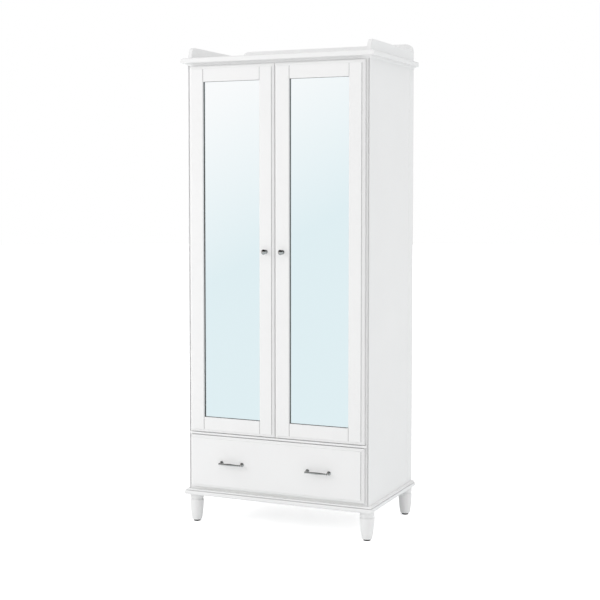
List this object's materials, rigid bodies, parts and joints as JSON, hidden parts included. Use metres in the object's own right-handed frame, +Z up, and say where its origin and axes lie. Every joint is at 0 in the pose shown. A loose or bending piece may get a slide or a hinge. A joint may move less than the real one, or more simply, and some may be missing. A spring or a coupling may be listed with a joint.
{
  "type": "armoire",
  "caption": "Tall two-door armoire with mirrored framed doors over a full-width drawer, moulded top with a low gallery, moulded base and turned legs.",
  "frame": {"origin": "middle of the footprint, on the floor under the levelling feet", "axes": "+Z up, -Y the way the doors and drawer face, +X to the right as seen from the front"},
  "size_m": [0.88, 0.58, 2.08],
  "materials": {
    "white_lacquer": "satin white lacquer on board and solid wood",
    "white_board": "smooth matt white board",
    "beech": "plain turned wood",
    "mirror_glass": "polished, silvered behind",
    "dark_nickel": "dark satin nickel",
    "chromed_steel": "polished",
    "zinc_steel": "zinc plated",
    "black_plastic": "matt black"
  },
  "bodies": {
    "carcass": {"base_board": "white_lacquer", "bottom_panel": "white_board", "front_stile_left": "white_lacquer", "front_stile_right": "white_lacquer", "rear_post_left": "white_lacquer", "rear_post_right": "white_lacquer", "side_panel_left": "white_lacquer", "side_panel_right": "white_lacquer", "fixed_shelf": "white_lacquer", "top_rail": "white_lacquer", "top_board": "white_lacquer", "cornice_moulding": "white_lacquer", "gallery_left": "white_lacquer", "gallery_right": "white_lacquer", "gallery_back": "white_lacquer", "back_panel_left": "white_board", "back_panel_right": "white_board", "back_joint_strip": "white_board", "hat_shelf": "white_board", "shelf_pins": "zinc_steel", "clothes_rail": "chromed_steel", "rail_brackets": "chromed_steel", "leg_front_left": "white_lacquer", "leg_front_right": "white_lacquer", "leg_rear_left": "white_lacquer", "leg_rear_right": "white_lacquer", "leg_bolts": "zinc_steel", "carcass_screws": "zinc_steel", "dowels": "beech", "hinge_arms": "zinc_steel", "cabinet_runners": "zinc_steel"},
    "door_left": {"door_left_hinge_stile": "white_lacquer", "door_left_meeting_stile": "white_lacquer", "door_left_top_rail": "white_lacquer", "door_left_bottom_rail": "white_lacquer", "mirror_left": "mirror_glass", "mirror_backing_left": "white_board", "knob_left": "dark_nickel", "hinge_cups_left": "zinc_steel"},
    "door_right": {"door_right_hinge_stile": "white_lacquer", "door_right_meeting_stile": "white_lacquer", "door_right_top_rail": "white_lacquer", "door_right_bottom_rail": "white_lacquer", "mirror_right": "mirror_glass", "mirror_backing_right": "white_board", "knob_right": "dark_nickel", "hinge_cups_right": "zinc_steel"},
    "drawer": {"drawer_front": "white_lacquer", "drawer_side_left": "white_board", "drawer_side_right": "white_board", "drawer_back": "white_board", "drawer_bottom": "white_board", "drawer_handle_left": "dark_nickel", "drawer_handle_right": "dark_nickel", "drawer_runners": "zinc_steel", "handle_screws": "zinc_steel"},
    "levelling_foot_front_left": {"foot_front_left": "black_plastic"},
    "levelling_foot_front_right": {"foot_front_right": "black_plastic"},
    "levelling_foot_rear_left": {"foot_rear_left": "black_plastic"},
    "levelling_foot_rear_right": {"foot_rear_right": "black_plastic"}
  },
  "joints": [
    {"name": "door_left_hinge", "type": "hinge", "parent": "carcass", "child": "door_left", "pos_m": [-0.39425, -0.257, 1.18325], "axis": [0, 0, -1], "range_deg": [0, 110]},
    {"name": "door_right_hinge", "type": "hinge", "parent": "carcass", "child": "door_right", "pos_m": [0.39425, -0.257, 1.18325], "axis": [0, 0, 1], "range_deg": [0, 110]},
    {"name": "drawer_slide", "type": "slide", "parent": "carcass", "child": "drawer", "axis": [0, -1, 0], "range_m": [0, 0.38]},
    {"name": "levelling_front_left_slide", "type": "slide", "parent": "carcass", "child": "levelling_foot_front_left", "axis": [0, 0, -1], "range_m": [0, 0.012]},
    {"name": "levelling_front_right_slide", "type": "slide", "parent": "carcass", "child": "levelling_foot_front_right", "axis": [0, 0, -1], "range_m": [0, 0.012]},
    {"name": "levelling_rear_left_slide", "type": "slide", "parent": "carcass", "child": "levelling_foot_rear_left", "axis": [0, 0, -1], "range_m": [0, 0.012]},
    {"name": "levelling_rear_right_slide", "type": "slide", "parent": "carcass", "child": "levelling_foot_rear_right", "axis": [0, 0, -1], "range_m": [0, 0.012]}
  ]
}
